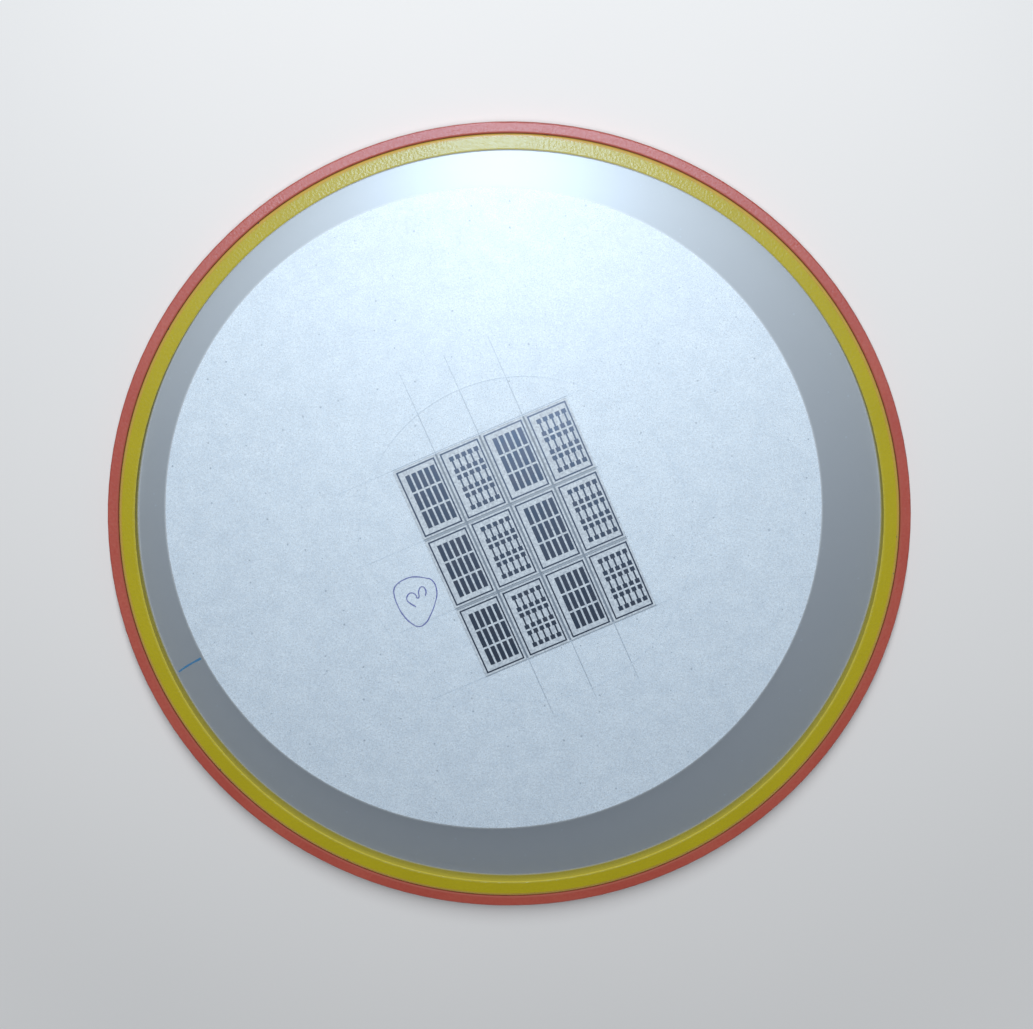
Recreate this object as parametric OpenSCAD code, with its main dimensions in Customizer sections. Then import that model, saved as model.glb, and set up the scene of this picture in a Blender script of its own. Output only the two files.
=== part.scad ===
// Diced 100 mm wafer on stretched dicing film, held in a pair of grip rings.
// Millimetres, +Z up. The origin is on the rings' axis, in the plane that they lie on.
// The inner ring stands inside the film, the outer ring grips it from outside,
// and the twelve sawn dies are stuck to the top of the film.

/* [Grip rings] */
// Bore of the inner ring
ring_bore_d = 222.3; // [190:0.1:260]
// Radial wall of the inner ring
inner_wall = 4.7; // [3.5:0.1:8]
// Radial wall of the outer ring
outer_wall = 3.2; // [2.8:0.1:8]
// Height of both rings
ring_h = 6.35; // [4.5:0.05:12]
// Radius of the shoulder that the film bends over, at the top of the inner ring
shoulder_r = 0.9; // [0.5:0.05:1.5]
// Radius of the other ring edges
edge_r = 0.4; // [0.2:0.05:0.6]
// Lead-in chamfer at the foot of the outer ring's bore
lead_in = 0.6; // [0.3:0.05:0.9]

/* [Dicing film] */
// Thickness of the film
film_t = 0.12; // [0.08:0.01:0.2]
// Height of the film's trimmed hem above the underside of the rings
hem_h = 0.8; // [0.6:0.05:1.5]

/* [Backing disc] */
// Clearance left around the backing disc if it were central in the ring's bore
backing_clear = 13.95; // [8:0.05:30]
// Thickness of the backing disc
backing_t = 0.25; // [0.1:0.01:1]
// Sideways place of the backing disc, from the rings' axis
backing_x = -4.7; // [-5:0.1:5]
// Place of the backing disc towards the back, from the rings' axis
backing_y = 3.7; // [-5:0.1:5]

/* [Wafer] */
// Diameter of the whole wafer, before the pieces round the dies were taken off
wafer_d = 100; // [95:1:150]
// Thickness of the wafer
wafer_t = 0.525; // [0.3:0.005:0.8]
// Sideways place of the wafer's centre, from the rings' axis
wafer_x = 4.6; // [-10:0.1:10]
// Place of the wafer's centre towards the back, from the rings' axis
wafer_y = -3.2; // [-10:0.1:10]
// Turn of the wafer, anticlockwise seen from above
wafer_turn = 23.6; // [0:0.1:90]

/* [Dies] */
// Offset of the block of dies from the wafer's centre, across the columns
block_x = 0.42; // [-1:0.01:1]
// Offset of the block of dies from the wafer's centre, up the rows
block_y = 0.87; // [-1:0.01:1]
// Columns of dies
columns = 4; // [2:1:4]
// Rows of dies
rows = 3; // [2:1:3]
// Pitch of the columns
pitch_x = 14; // [12:0.1:15]
// Pitch of the rows
pitch_y = 23; // [18:0.1:24]
// Open street between two columns, as wide as the saw cut and the film's stretch leave it
street_x = 0.61; // [0.2:0.01:1]
// Open street between two rows
street_y = 0.84; // [0.2:0.01:1.2]

/* [Metal pattern] */
// Thickness of the metal pattern on a die
metal_t = 0.03; // [0.02:0.01:0.1]
// Line width of the frame round each pattern
frame_line = 0.45; // [0.3:0.01:0.8]
// Margin between the left side of a die and its frame
frame_left = 0.64; // [0.3:0.01:1.2]
// Margin between the right side of a die and its frame
frame_right = 0.54; // [0.3:0.01:1.2]
// Margin between either end of a die and its frame
frame_end = 0.52; // [0.3:0.01:1.2]
// Space between the frame and the left-hand shapes
field_left = 1.6; // [0.4:0.01:2]
// Space between the frame and the right-hand shapes
field_right = 0.47; // [0.3:0.01:2]
// Space between the frame and the shapes at the two ends
field_end = 1.52; // [0.4:0.01:2.5]
// Gap between neighbouring shapes
shape_gap = 0.58; // [0.3:0.01:0.9]
// Shapes side by side on a die
shapes_across = 5; // [3:1:6]
// Shapes one above the other on a die
shapes_along = 3; // [2:1:4]
// Width of the stem that joins the two pads of a dumbbell
stem_w = 0.5; // [0.2:0.01:0.7]

/* [Saw marks in the film] */
// Width of the saw blade's groove
saw_w = 0.3; // [0.1:0.05:0.5]
// Depth of the groove, part of the film's thickness
saw_depth = 0.05; // [0.02:0.01:0.06]
// Overrun of the long cuts past the wafer's outline, at the upper end
overrun_up = 11; // [2:0.5:14]
// Overrun of the long cuts past the wafer's outline, at the lower end
overrun_down = 3; // [1:0.5:12]
// Overrun of the cross cuts past the dies, on the left
cross_left = 18; // [2:0.5:20]
// Overrun of the cross cuts past the dies, on the right
cross_right = 5; // [2:0.5:16]
// Width of the line that the wafer's edge pressed into the film
outline_w = 0.3; // [0.1:0.05:0.6]
// Rounding of the wafer's edge, inside which it touched the film
wafer_edge = 0.4; // [0.1:0.05:0.8]

/* [Hidden] */
die_names = [for (r = [1:rows], c = [1:columns]) str("die_c", c, "_r", r)];
metal_names = [for (r = [1:rows], c = [1:columns]) str("metal_c", c, "_r", r)];

big_fn = 180;                                 // facets of the large circles
small_fn = 32;                                // facets of the edge roundings
over = 1;                                     // how far a cutting shape runs past the solid

bore_r = ring_bore_d / 2;                     // inner ring, inside
grip_r = bore_r + inner_wall;                 // inner ring, outside, where the film is gripped
clamp_r = grip_r + film_t;                    // outer ring, inside
rim_r = clamp_r + outer_wall;                 // outer ring, outside
film_top = ring_h + film_t;                   // plane that the dies stand on
die_top = film_top + wafer_t;                 // plane that the metal pattern lies on
backing_r = bore_r - backing_clear;
outline_r = wafer_d / 2 - wafer_edge;         // line left in the film by the wafer's edge

block_w = columns * pitch_x;                  // the whole block of dies, street centres
block_left = block_x - block_w / 2;           // its sides, from the wafer's centre
block_top = block_y + rows * pitch_y / 2;
die_w = pitch_x - street_x;
die_l = pitch_y - street_y;
frame_w = die_w - frame_left - frame_right;   // outside of the frame on a die
frame_l = die_l - 2 * frame_end;
field_w = frame_w - 2 * frame_line - field_left - field_right;
field_l = frame_l - 2 * frame_line - 2 * field_end;
shape_w = (field_w - (shapes_across - 1) * shape_gap) / shapes_across;
shape_l = (field_l - (shapes_along - 1) * shape_gap) / shapes_along;
pad_l = min(shape_w, shape_l / 3);            // the two pads of a dumbbell are square

// Square corner with a rounding of radius r, to be taken away from a profile.
// The corner is at the origin and the profile lies towards -X and -Y.
module corner_off(r) {
    difference() {
        translate([-r, -r]) square(r + over);
        translate([-r, -r]) circle(r, $fn = small_fn);
    }
}

// Upright rectangle of a ring's section, from radius r0 to r1 and height z0 to z1.
// Each corner has its own rounding: inside foot, outside foot, outside top, inside top.
module section(r0, r1, z0, z1, foot_in, foot_out, top_out, top_in) {
    difference() {
        translate([r0, z0]) square([r1 - r0, z1 - z0]);
        if (foot_in > 0) translate([r0, z0]) rotate(180) corner_off(foot_in);
        if (foot_out > 0) translate([r1, z0]) mirror([0, 1]) corner_off(foot_out);
        if (top_out > 0) translate([r1, z1]) corner_off(top_out);
        if (top_in > 0) translate([r0, z1]) mirror([1, 0]) corner_off(top_in);
    }
}

module outer_ring() {
    color("indianred")
        rotate_extrude($fn = big_fn)
            difference() {
                section(clamp_r, rim_r, 0, ring_h, 0, edge_r, edge_r, edge_r);
                polygon([[clamp_r - over, -over], [clamp_r + lead_in + over, -over],
                         [clamp_r - over, lead_in + over]]);
            }
}

module inner_ring() {
    color([0.80, 0.74, 0.20])
        rotate_extrude($fn = big_fn)
            section(bore_r, grip_r, 0, ring_h, edge_r, edge_r, shoulder_r, edge_r);
}

// The film lies flat over the inner ring, bends over its shoulder and runs down
// between the rings to a trimmed hem.
module film_sheet() {
    rotate_extrude($fn = big_fn)
        difference() {
            section(0, clamp_r, hem_h, film_top, 0, 0, shoulder_r + film_t, 0);
            section(-over, grip_r, 0, ring_h, 0, 0, shoulder_r, 0);
        }
}

// Sets its children on the wafer's centre and in its own directions,
// with X across the columns and Y up the rows.
module on_wafer(z) {
    translate([wafer_x, wafer_y, z]) rotate(wafer_turn) children();
}

// Grooves of the long cuts, one at each street between two columns, and of the
// cross cuts, one at each end of the block and each street between two rows.
module saw_grooves() {
    up = outline_r + overrun_up;
    down = outline_r + overrun_down;
    for (c = [1:columns - 1])
        translate([block_left + c * pitch_x - saw_w / 2, -down, -saw_depth])
            cube([saw_w, up + down, saw_depth + over]);
    for (r = [0:rows])
        translate([block_left - cross_left, block_top - r * pitch_y - saw_w / 2, -saw_depth])
            cube([block_w + cross_left + cross_right, saw_w, saw_depth + over]);
}

// Line pressed into the film by the edge of the whole wafer.
module outline_groove() {
    translate([0, 0, -saw_depth])
        difference() {
            cylinder(r = outline_r + outline_w / 2, h = saw_depth + over, $fn = big_fn);
            translate([0, 0, -over])
                cylinder(r = outline_r - outline_w / 2, h = saw_depth + 3 * over, $fn = big_fn);
        }
}

module dicing_film() {
    color([0.62, 0.67, 0.70, 0.5])
        difference() {
            film_sheet();
            on_wafer(film_top) {
                saw_grooves();
                outline_groove();
            }
        }
}

module backing_disc() {
    color("aliceblue")
        translate([backing_x, backing_y, ring_h - backing_t])
            cylinder(r = backing_r, h = backing_t, $fn = big_fn);
}

// Places its children with their origin at the lower left corner of one die.
// Columns count from the left and rows from the top.
module at_die(c, r, z) {
    on_wafer(z)
        translate([block_left + (c - 1) * pitch_x + street_x / 2,
                   block_top - r * pitch_y + street_y / 2, 0])
            children();
}

module die(c, r) {
    color([0.80, 0.84, 0.89])
        at_die(c, r, film_top)
            cube([die_w, die_l, wafer_t]);
}

// Thin line round the pattern of a die.
module metal_frame() {
    translate([frame_left, frame_end])
        difference() {
            square([frame_w, frame_l]);
            translate([frame_line, frame_line])
                square([frame_w - 2 * frame_line, frame_l - 2 * frame_line]);
        }
}

// One test shape is a plain bar, or a dumbbell of two square pads and a thin stem.
module bar() {
    square([shape_w, shape_l]);
}

module dumbbell() {
    square([shape_w, pad_l]);
    translate([(shape_w - stem_w) / 2, 0]) square([stem_w, shape_l]);
    translate([0, shape_l - pad_l]) square([shape_w, pad_l]);
}

// Odd columns carry bars and even columns carry dumbbells.
module metal(c, r) {
    color([0.27, 0.31, 0.41])
        at_die(c, r, die_top)
            linear_extrude(metal_t) {
                metal_frame();
                translate([frame_left + frame_line + field_left, frame_end + frame_line + field_end])
                    for (i = [0:shapes_across - 1], j = [0:shapes_along - 1])
                        translate([i * (shape_w + shape_gap), j * (shape_l + shape_gap)])
                            if (c % 2 == 1) bar(); else dumbbell();
            }
}

outer_ring();
inner_ring();
dicing_film();
backing_disc();
for (r = [1:rows], c = [1:columns])
    die(c, r);
for (r = [1:rows], c = [1:columns])
    metal(c, r);
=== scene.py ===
"""Looks of a diced wafer on stretched dicing film, held in a pair of grip rings.

Millimetres in the dataclass fields, except in Studio, and metres in Blender, +Z up.
The origin is on the rings' axis, in the plane that they lie on.
"""

import logging
import math
from dataclasses import dataclass, field
from enum import Enum
from typing import Callable, Optional

import bpy
from mathutils import Matrix, Vector

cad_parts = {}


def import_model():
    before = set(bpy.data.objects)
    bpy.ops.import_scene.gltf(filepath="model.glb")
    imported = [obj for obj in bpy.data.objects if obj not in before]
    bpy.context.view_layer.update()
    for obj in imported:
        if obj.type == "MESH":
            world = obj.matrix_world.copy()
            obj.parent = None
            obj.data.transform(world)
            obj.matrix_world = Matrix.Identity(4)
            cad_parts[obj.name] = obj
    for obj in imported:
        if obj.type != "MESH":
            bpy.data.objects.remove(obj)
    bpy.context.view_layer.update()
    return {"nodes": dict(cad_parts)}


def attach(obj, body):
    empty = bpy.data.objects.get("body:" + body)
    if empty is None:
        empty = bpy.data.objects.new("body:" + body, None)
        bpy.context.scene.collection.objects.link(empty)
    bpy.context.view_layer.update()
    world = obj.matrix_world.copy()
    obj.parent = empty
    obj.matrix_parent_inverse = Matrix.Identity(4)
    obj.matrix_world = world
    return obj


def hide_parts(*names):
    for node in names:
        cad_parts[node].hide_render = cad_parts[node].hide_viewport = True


MM = 0.001
log = logging.getLogger("wafer")

Point = tuple[float, float]
Triple = tuple[float, float, float]
Quad = tuple[float, float, float, float]
Material, Object = bpy.types.Material, bpy.types.Object
Tree, Node, Socket = bpy.types.NodeTree, bpy.types.Node, bpy.types.NodeSocket


# ---------------------------------------------------------------- helpers


def linear(code: str) -> Quad:
    """Turns an sRGB hex colour into the linear colour that a shader takes.

    Args:
        code: the colour as #RRGGBB.

    Returns:
        The linear red, green and blue, and an alpha of 1.
    """
    parts = [int(code[i : i + 2], 16) / 255 for i in (1, 3, 5)]
    red, green, blue = (p / 12.92 if p <= 0.04045 else ((p + 0.055) / 1.055) ** 2.4 for p in parts)
    return red, green, blue, 1.0


def add(tree: Tree, kind: str, inputs: Optional[dict] = None, **settings: object) -> Node:
    """Adds a node with its settings, values and links.

    Args:
        tree: the node tree that it goes into.
        kind: the node's type.
        inputs: a value, a socket or a node (its first output) for each input.
        settings: the node's own properties.

    Returns:
        The new node.
    """
    node = tree.nodes.new(kind)
    for name, value in settings.items():
        setattr(node, name, value)
    for key, value in (inputs or {}).items():
        if isinstance(value, Node):
            value = value.outputs[0]
        if isinstance(value, Socket):
            tree.links.new(value, node.inputs[key])
        else:
            node.inputs[key].default_value = value
    return node


def per_mm(size: float) -> float:
    """Scale of a pattern on coordinates in metres whose features are size millimetres wide."""
    return 1 / (size * MM)


def drift(
    tree: Tree, pattern: Node, span: Point, colours: tuple[str, str], most: float = 1.0
) -> Socket:
    """Adds the nodes that let a colour drift with a pattern.

    Args:
        tree: the material's tree.
        pattern: the pattern.
        span: its values where the drift starts and ends.
        colours: the first and the second colour, as #RRGGBB.
        most: how far the drift goes toward the second.

    Returns:
        The output that is the colour.
    """
    share = add(
        tree, "ShaderNodeMapRange",
        {"Value": pattern, "From Min": span[0], "From Max": span[1], "To Max": most},
    )
    first, second = (linear(code) for code in colours)
    return add(tree, "ShaderNodeMix", {0: share, 6: first, 7: second}, data_type="RGBA").outputs[2]


def from_axis(tree: Tree, place: Socket, centre: Point = (0.0, 0.0)) -> Socket:
    """Adds the nodes that measure the distance from an upright axis.

    Args:
        tree: the material's tree.
        place: the coordinates, in metres.
        centre: the axis, in millimetres.

    Returns:
        The output that is the distance, in metres.
    """
    move = (-centre[0] * MM, -centre[1] * MM, 0.0)
    moved = add(tree, "ShaderNodeMapping", {"Vector": place, "Location": move})
    flat = add(tree, "ShaderNodeVectorMath", {0: moved, 1: (1.0, 1.0, 0.0)}, operation="MULTIPLY")
    return add(tree, "ShaderNodeVectorMath", {0: flat}, operation="LENGTH").outputs["Value"]


def past_circle(
    tree: Tree, place: Socket, radius: float, ways: Point, centre: Point = (0.0, 0.0)
) -> Node:
    """Adds the nodes of a smooth step across a circle.

    Args:
        tree: the material's tree.
        place: the coordinates, in metres.
        radius: the circle's radius, in millimetres.
        ways: how far out from the circle the step starts and ends.
        centre: the circle's centre.

    Returns:
        The node whose output is 0 where the step starts and 1 where it ends.
    """
    start, end = ((radius + way) * MM for way in ways)
    return add(
        tree, "ShaderNodeMapRange",
        {"Value": from_axis(tree, place, centre), "From Min": start, "From Max": end},
        interpolation_type="SMOOTHSTEP",
    )


def peak(tree: Tree, value: Socket | Node, middle: float, half: float, top: float) -> Node:
    """Adds the nodes of a smooth peak.

    Args:
        tree: the material's tree.
        value: what the peak is drawn over.
        middle: the value at the peak.
        half: how far from there the peak ends.
        top: its height.

    Returns:
        The node whose output is top in the middle and 0 past the ends.
    """
    off = add(tree, "ShaderNodeMath", {0: value, 1: middle}, operation="SUBTRACT")
    off = add(tree, "ShaderNodeMath", {0: off}, operation="ABSOLUTE")
    return add(
        tree, "ShaderNodeMapRange",
        {"Value": off, "From Min": 0.0, "From Max": half, "To Min": top, "To Max": 0.0},
        interpolation_type="SMOOTHSTEP",
    )


def deselect() -> None:
    """Leaves nothing selected, because an operator acts on all that is."""
    bpy.ops.object.select_all(action="DESELECT")


def only(obj: Object) -> None:
    """Selects one object alone and makes it the active one.

    Args:
        obj: the object.
    """
    deselect()
    obj.select_set(True)
    bpy.context.view_layer.objects.active = obj


class Part(Enum):
    """The parts of a mesh that can be selected, in the order of edit mode's switches."""

    VERT = "point"
    EDGE = "edge"
    FACE = "face"


def pick(obj: Object, part: Part, test: Callable[[object], bool]) -> None:
    """Selects the faces or edges of a mesh that pass a test.

    Args:
        obj: the object, in object mode.
        part: faces or edges.
        test: takes a polygon, or an edge's two points.
    """
    mesh = obj.data
    for group in (mesh.polygons, mesh.edges, mesh.vertices):
        for item in group:
            item.select = False
    if part is Part.FACE:
        for face in mesh.polygons:
            face.select = bool(test(face))
    else:
        for edge in mesh.edges:
            edge.select = bool(test([mesh.vertices[i].co for i in edge.vertices]))


def editing(obj: Object, part: Part, steps: Callable[[], None]) -> None:
    """Runs edit-mode operators on what is selected in an object's mesh.

    Args:
        obj: the object, in object mode.
        part: the parts that the operators see as selected.
        steps: calls the operators.
    """
    only(obj)
    bpy.context.tool_settings.mesh_select_mode = [part is kind for kind in Part]
    bpy.ops.object.mode_set(mode="EDIT")
    steps()
    bpy.ops.object.mode_set(mode="OBJECT")


def settle(obj: Object, name: str) -> Object:
    """Names a piece and puts its place into its mesh, with the object at the origin.

    Args:
        obj: the piece.
        name: its name, which its mesh gets too.

    Returns:
        The same piece.
    """
    only(obj)
    bpy.ops.object.transform_apply(location=True, rotation=True, scale=True)
    obj.name = name
    obj.data.name = name
    return obj


def smooth(obj: Object, degrees: float) -> None:
    """Smooths the shading across edges flatter than an angle."""
    only(obj)
    bpy.ops.object.shade_smooth_by_angle(angle=math.radians(degrees))


def dress(obj: Object, *materials: Material) -> None:
    """Gives an object its materials.

    Args:
        obj: the object, whose faces keep their slots where there are several.
        materials: the material of each slot.
    """
    slots = obj.data.materials
    faces = [face.material_index for face in obj.data.polygons]
    slots.clear()
    for material in materials:
        slots.append(material)
    if len(materials) > 1:
        obj.data.polygons.foreach_set("material_index", faces)


def seen(tree: Tree) -> Node:
    """Adds the nodes that tell what is seen, mirrored or seen through from what is lit.

    Args:
        tree: the material's or the world's tree.

    Returns:
        The node whose output is 1 for camera, glossy and transmission rays.
    """
    path = add(tree, "ShaderNodeLightPath").outputs
    either = add(
        tree, "ShaderNodeMath", {0: path["Is Camera Ray"], 1: path["Is Glossy Ray"]},
        operation="MAXIMUM",
    )
    return add(
        tree, "ShaderNodeMath", {0: either, 1: path["Is Transmission Ray"]}, operation="MAXIMUM"
    )


# ---------------------------------------------------------------- finishes


@dataclass(frozen=True)
class Finish:
    """What all finishes share: a name and an empty material to fill."""

    name: str

    def start(self) -> tuple[Material, Tree, Node]:
        """Makes the material.

        Returns:
            The material, its empty node tree and the tree's output node.
        """
        material = bpy.data.materials.new(self.name)
        material.use_nodes = True
        tree = material.node_tree
        tree.nodes.clear()
        return material, tree, add(tree, "ShaderNodeOutputMaterial")

    def place(self, tree: Tree) -> Socket:
        """Object coordinates, in metres, through a plain mapping."""
        coords = add(tree, "ShaderNodeTexCoord")
        return add(tree, "ShaderNodeMapping", {"Vector": coords.outputs["Object"]}).outputs[0]


@dataclass(frozen=True)
class MouldedPlastic(Finish):
    """Injection-moulded polystyrene: an even colour under a soft gloss that the fine
    grain of a spark-eroded mould breaks up into glints, with flow clouds and the hair
    scratches of handling. The inner edge, where the film rubs, is duller and has a colour
    of its own; where that is paler, as on the yellow ring, it is painted light on the
    bore wall, standing in for the light that falls on it and seeps through the plastic."""

    colour: str
    pale: str
    edge_r: float
    # the inner edge's colour; a paler one is painted light on the bore wall
    edge: str
    ior: float = 1.55
    roughness: float = 0.36
    edge_roughness: float = 0.75
    mirror: float = 0.5
    tint: str = "#D6E8FF"
    edge_fade: Point = (0.15, -0.05)
    cloud_mm: float = 26.0
    speck_mm: float = 0.9
    grain_mm: float = 0.6
    grain_height: float = 0.07
    scratch_mm: float = 0.7

    def build(self) -> Material:
        """Makes the material.

        Returns:
            The finished material.
        """
        material, tree, out = self.start()
        place = self.place(tree)
        cloud = add(
            tree, "ShaderNodeTexNoise",
            {"Vector": place, "Scale": per_mm(self.cloud_mm), "Detail": 3.0},
        )
        speck = add(
            tree, "ShaderNodeTexNoise",
            {"Vector": place, "Scale": per_mm(self.speck_mm), "Detail": 4.0, "Roughness": 0.7},
        )
        cloud = add(tree, "ShaderNodeMath", {0: cloud, 1: speck}, operation="MULTIPLY")
        colour = drift(tree, cloud, (0.12, 0.42), (self.colour, self.pale), most=0.55)
        # the inner edge takes its own colour: on the yellow ring, painted light on the bore wall
        inner = past_circle(tree, place, self.edge_r, self.edge_fade)
        colour = add(
            tree, "ShaderNodeMix", {0: inner, 6: colour, 7: linear(self.edge)}, data_type="RGBA"
        )
        long_way = add(
            tree, "ShaderNodeMapping",
            {"Vector": place, "Rotation": (0.0, 0.0, 0.6), "Scale": (1.0, 0.6, 1.0)},
        )
        scratch = add(
            tree, "ShaderNodeTexNoise",
            {"Vector": long_way, "Scale": per_mm(self.scratch_mm), "Detail": 5.0},
        )
        gloss = add(
            tree, "ShaderNodeMapRange",
            {
                "Value": scratch, "From Min": 0.35, "From Max": 0.75,
                "To Min": self.roughness - 0.03, "To Max": self.roughness + 0.06,
            },
        )
        gloss = add(
            tree, "ShaderNodeMix", {0: inner, 2: gloss, 3: self.edge_roughness}, data_type="FLOAT"
        ).outputs[0]
        grain = add(
            tree, "ShaderNodeTexNoise",
            {"Vector": place, "Scale": per_mm(self.grain_mm), "Detail": 3.0, "Roughness": 0.6},
        )
        height = add(
            tree, "ShaderNodeMath", {0: scratch, 1: 0.2, 2: grain}, operation="MULTIPLY_ADD"
        )
        bump = add(
            tree, "ShaderNodeBump",
            {"Height": height, "Strength": 1.0, "Distance": self.grain_height * MM},
        )
        shader = add(
            tree, "ShaderNodeBsdfPrincipled",
            {
                "Base Color": colour.outputs[2], "Roughness": gloss, "Normal": bump,
                "IOR": self.ior, "Specular IOR Level": self.mirror,
                "Specular Tint": linear(self.tint),
            },
        )
        tree.links.new(shader.outputs[0], out.inputs["Surface"])
        return material


@dataclass(frozen=True)
class BackingPaper(Finish):
    """Calendered white paper: bluish white, with the cloudy look of its fibres and a
    fine tooth that keeps it matte."""

    colour: str = "#E7F0F3"
    shade: str = "#D0DCE3"
    cloud_mm: float = 5.0
    fibre_mm: float = 0.7

    def build(self) -> Material:
        """Makes the material.

        Returns:
            The finished material.
        """
        material, tree, out = self.start()
        place = self.place(tree)
        cloud = add(
            tree, "ShaderNodeTexNoise",
            {"Vector": place, "Scale": per_mm(self.cloud_mm), "Detail": 4.0, "Roughness": 0.65},
        )
        fibre = add(
            tree, "ShaderNodeTexNoise",
            {"Vector": place, "Scale": per_mm(self.fibre_mm), "Detail": 2.0, "Distortion": 1.2},
        )
        both = add(tree, "ShaderNodeMath", {0: cloud, 1: 0.6, 2: fibre}, operation="MULTIPLY_ADD")
        colour = drift(tree, both, (0.6, 1.0), (self.colour, self.shade))
        bump = add(
            tree, "ShaderNodeBump", {"Height": fibre, "Strength": 0.5, "Distance": 0.03 * MM}
        )
        shader = add(
            tree, "ShaderNodeBsdfPrincipled",
            {"Base Color": colour, "Roughness": 0.82, "Normal": bump, "Specular IOR Level": 0.3},
        )
        tree.links.new(shader.outputs[0], out.inputs["Surface"])
        return material


@dataclass(frozen=True)
class CoatedSilicon(Finish):
    """Diced silicon under a pale polymer coat: a satin lavender-white top with fine
    speckle, and sawn side walls of bare dark silicon."""

    coat: str = "#C9D9E6"
    coat_shade: str = "#8C9BAD"
    wall: str = "#3E444E"
    wall_streak: str = "#626873"
    speck_mm: float = 0.75
    saw_line_mm: float = 0.05

    def build(self) -> Material:
        """Makes the material.

        Returns:
            The finished material.
        """
        material, tree, out = self.start()
        place = self.place(tree)
        speck = add(
            tree, "ShaderNodeTexNoise",
            {"Vector": place, "Scale": per_mm(self.speck_mm), "Detail": 4.0, "Roughness": 0.75},
        )
        coat = drift(tree, speck, (0.33, 0.72), (self.coat, self.coat_shade))
        streak_place = add(tree, "ShaderNodeMapping", {"Vector": place, "Scale": (0.05, 0.05, 1.0)})
        streak = add(
            tree, "ShaderNodeTexNoise",
            {"Vector": streak_place, "Scale": per_mm(self.saw_line_mm), "Detail": 3.0},
        )
        wall = drift(tree, streak, (0.0, 1.0), (self.wall, self.wall_streak))
        normal = add(tree, "ShaderNodeTexCoord").outputs["Normal"]
        upward = add(tree, "ShaderNodeSeparateXYZ", {0: normal})
        top = add(
            tree, "ShaderNodeMath", {0: upward.outputs["Z"], 1: 0.5}, operation="GREATER_THAN"
        )
        colour = add(tree, "ShaderNodeMix", {0: top, 6: wall, 7: coat}, data_type="RGBA")
        bump = add(
            tree, "ShaderNodeBump", {"Height": speck, "Strength": 0.2, "Distance": 0.01 * MM}
        )
        shader = add(
            tree, "ShaderNodeBsdfPrincipled",
            {
                "Base Color": colour.outputs[2], "Roughness": 0.37, "Specular IOR Level": 0.95,
                "Normal": bump,
            },
        )
        tree.links.new(shader.outputs[0], out.inputs["Surface"])
        return material


@dataclass(frozen=True)
class PatternMetal(Finish):
    """Sputtered metal, etched to a test pattern: a dark slate mirror, slightly soft,
    whose tint drifts from shape to shape with the thickness of the layer."""

    colour: str = "#506179"
    warm: str = "#586479"
    drift_mm: float = 3.5
    grain_mm: float = 0.35

    def build(self) -> Material:
        """Makes the material.

        Returns:
            The finished material.
        """
        material, tree, out = self.start()
        place = self.place(tree)
        layer = add(
            tree, "ShaderNodeTexNoise",
            {"Vector": place, "Scale": per_mm(self.drift_mm), "Detail": 2.0},
        )
        colour = drift(tree, layer, (0.35, 0.7), (self.colour, self.warm))
        grain = add(
            tree, "ShaderNodeTexNoise",
            {"Vector": place, "Scale": per_mm(self.grain_mm), "Detail": 3.0},
        )
        gloss = add(
            tree, "ShaderNodeMapRange",
            {"Value": grain, "From Min": 0.3, "From Max": 0.7, "To Min": 0.28, "To Max": 0.33},
        )
        bump = add(
            tree, "ShaderNodeBump", {"Height": grain, "Strength": 0.1, "Distance": 0.004 * MM}
        )
        shader = add(
            tree, "ShaderNodeBsdfPrincipled",
            {"Base Color": colour, "Metallic": 1.0, "Roughness": gloss, "Normal": bump},
        )
        tree.links.new(shader.outputs[0], out.inputs["Surface"])
        return material


class FilmZone(Enum):
    """Which part of the film a material is for."""

    SHEET = "dicing film, stretched PVC"
    KERF = "dicing film, scored by the saw"
    OUTLINE = "dicing film, pressed by the wafer's edge"


@dataclass(frozen=True)
class Spot:
    """The outputs that tell where on the film a point lies, lengths in metres.

    Attributes:
        tree: the material's tree.
        place: the object's coordinates.
        paper: 1 where the film lies on the paper.
        air: 1 where it spans the ring of air.
        front: 1 on the side where a ray enters the film.
        from_wafer: the distance from the wafer's centre.
        across: the place across the wafer's columns.
        along: the place up its rows.
    """

    tree: Tree
    place: Socket
    paper: Node
    air: Node
    front: Node
    from_wafer: Socket
    across: Socket
    along: Socket


@dataclass(frozen=True)
class Gloss:
    """How much the film mirrors where it lies on the ring, on the paper and over air."""

    ring: float
    paper: float
    air: float

    def share(self, at: Spot) -> Node:
        """Adds the nodes that choose among the three.

        Args:
            at: the place on the film.

        Returns:
            The node whose output is the share.
        """
        value = self.ring
        for where, gloss in ((at.paper, self.paper), (at.air, self.air)):
            value = add(
                at.tree, "ShaderNodeMath", {0: where, 1: gloss - self.ring, 2: value},
                operation="MULTIPLY_ADD",
            )
        return value


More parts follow.
